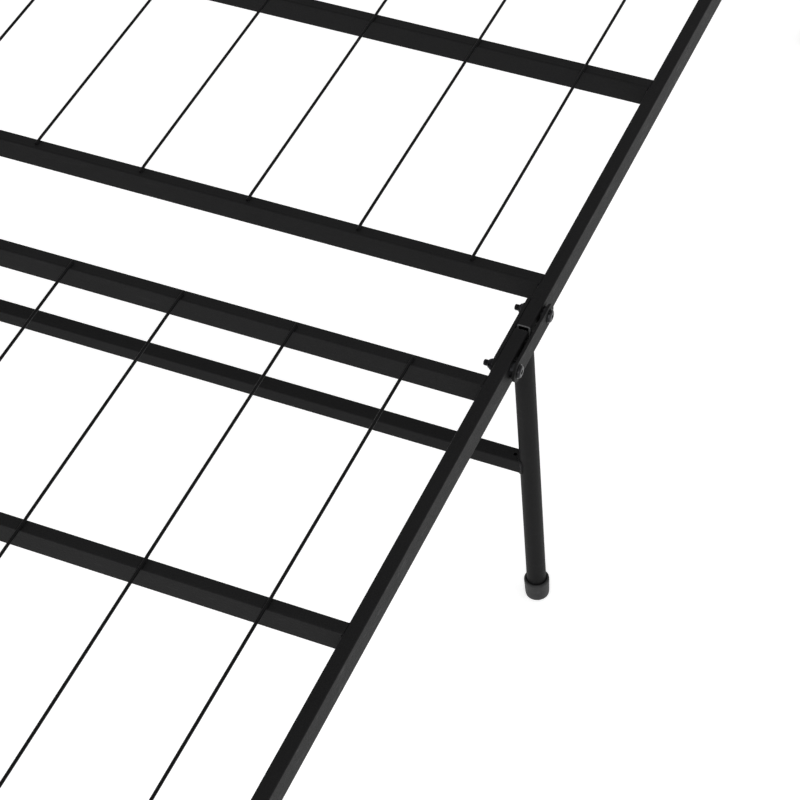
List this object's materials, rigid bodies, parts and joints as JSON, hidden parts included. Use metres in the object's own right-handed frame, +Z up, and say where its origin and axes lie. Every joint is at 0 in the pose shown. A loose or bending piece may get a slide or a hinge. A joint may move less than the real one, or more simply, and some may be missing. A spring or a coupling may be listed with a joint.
{
  "type": "folding platform bed frame",
  "caption": "Low black steel platform bed frame, twin size: two slatted halves joined at mid-length over a middle leg frame, with end leg frames that fold in.",
  "frame": {"origin": "on the floor, under the middle of the bed", "axes": "+X towards the right side rail seen from the foot end, +Y towards the head end, +Z up"},
  "size_m": [0.9936, 1.905, 0.3586],
  "materials": {
    "powder_coat": "satin black powder coat over steel tube, with a fine texture",
    "wire_coat": "satin black powder coat over steel wire",
    "dark_steel": "black zinc-plated steel fasteners and bushes",
    "foot_plastic": "matt black moulded plastic"
  },
  "bodies": {
    "mid_leg_frame": {"mid_crossbar": "powder_coat", "link_bolts": "dark_steel", "link_washers": "dark_steel", "link_nuts": "dark_steel", "mid_leg_left": "powder_coat", "mid_leg_right": "powder_coat", "mid_leg_cap_left": "foot_plastic", "mid_leg_cap_right": "foot_plastic", "link_plate_left": "powder_coat", "tie_plate_left": "powder_coat", "link_plate_right": "powder_coat", "tie_plate_right": "powder_coat"},
    "head_half": {"head_end_bar": "powder_coat", "head_pivot_bushes": "dark_steel", "head_leg_bolts": "dark_steel", "head_leg_nuts": "dark_steel", "head_rail_left": "powder_coat", "head_leg_bracket_left": "powder_coat", "head_rail_right": "powder_coat", "head_leg_bracket_right": "powder_coat", "head_slat_1": "powder_coat", "head_slat_2": "powder_coat", "head_slat_3": "powder_coat", "head_wire_1": "wire_coat", "head_wire_2": "wire_coat", "head_wire_3": "wire_coat", "head_wire_4": "wire_coat", "head_wire_5": "wire_coat", "head_wire_6": "wire_coat", "head_wire_7": "wire_coat", "head_wire_8": "wire_coat"},
    "foot_half": {"foot_end_bar": "powder_coat", "foot_pivot_bushes": "dark_steel", "foot_leg_bolts": "dark_steel", "foot_leg_nuts": "dark_steel", "foot_rail_left": "powder_coat", "foot_leg_bracket_left": "powder_coat", "foot_rail_right": "powder_coat", "foot_leg_bracket_right": "powder_coat", "foot_slat_1": "powder_coat", "foot_slat_2": "powder_coat", "foot_slat_3": "powder_coat", "foot_wire_1": "wire_coat", "foot_wire_2": "wire_coat", "foot_wire_3": "wire_coat", "foot_wire_4": "wire_coat", "foot_wire_5": "wire_coat", "foot_wire_6": "wire_coat", "foot_wire_7": "wire_coat", "foot_wire_8": "wire_coat"},
    "head_leg_frame": {"head_leg_crossbar": "powder_coat", "head_leg_left": "powder_coat", "head_leg_cap_left": "foot_plastic", "head_leg_right": "powder_coat", "head_leg_cap_right": "foot_plastic"},
    "foot_leg_frame": {"foot_leg_crossbar": "powder_coat", "foot_leg_left": "powder_coat", "foot_leg_cap_left": "foot_plastic", "foot_leg_right": "powder_coat", "foot_leg_cap_right": "foot_plastic"}
  },
  "joints": [
    {"name": "head_fold", "type": "hinge", "parent": "mid_leg_frame", "child": "head_half", "pos_m": [0, 0.037, 0.3431], "axis": [-1, 0, 0], "range_deg": [0, 88]},
    {"name": "foot_fold", "type": "hinge", "parent": "mid_leg_frame", "child": "foot_half", "pos_m": [0, -0.037, 0.3431], "axis": [1, 0, 0], "range_deg": [0, 88]},
    {"name": "head_leg_fold", "type": "hinge", "parent": "head_half", "child": "head_leg_frame", "pos_m": [0, 0.9, 0.3116], "axis": [-1, 0, 0], "range_deg": [0, 94]},
    {"name": "foot_leg_fold", "type": "hinge", "parent": "foot_half", "child": "foot_leg_frame", "pos_m": [0, -0.9, 0.3116], "axis": [1, 0, 0], "range_deg": [0, 94]}
  ],
  "couplings": [
    {"joint": "head_leg_fold", "follows": "head_fold", "ratio": 1.068},
    {"joint": "foot_leg_fold", "follows": "foot_fold", "ratio": 1.068}
  ]
}
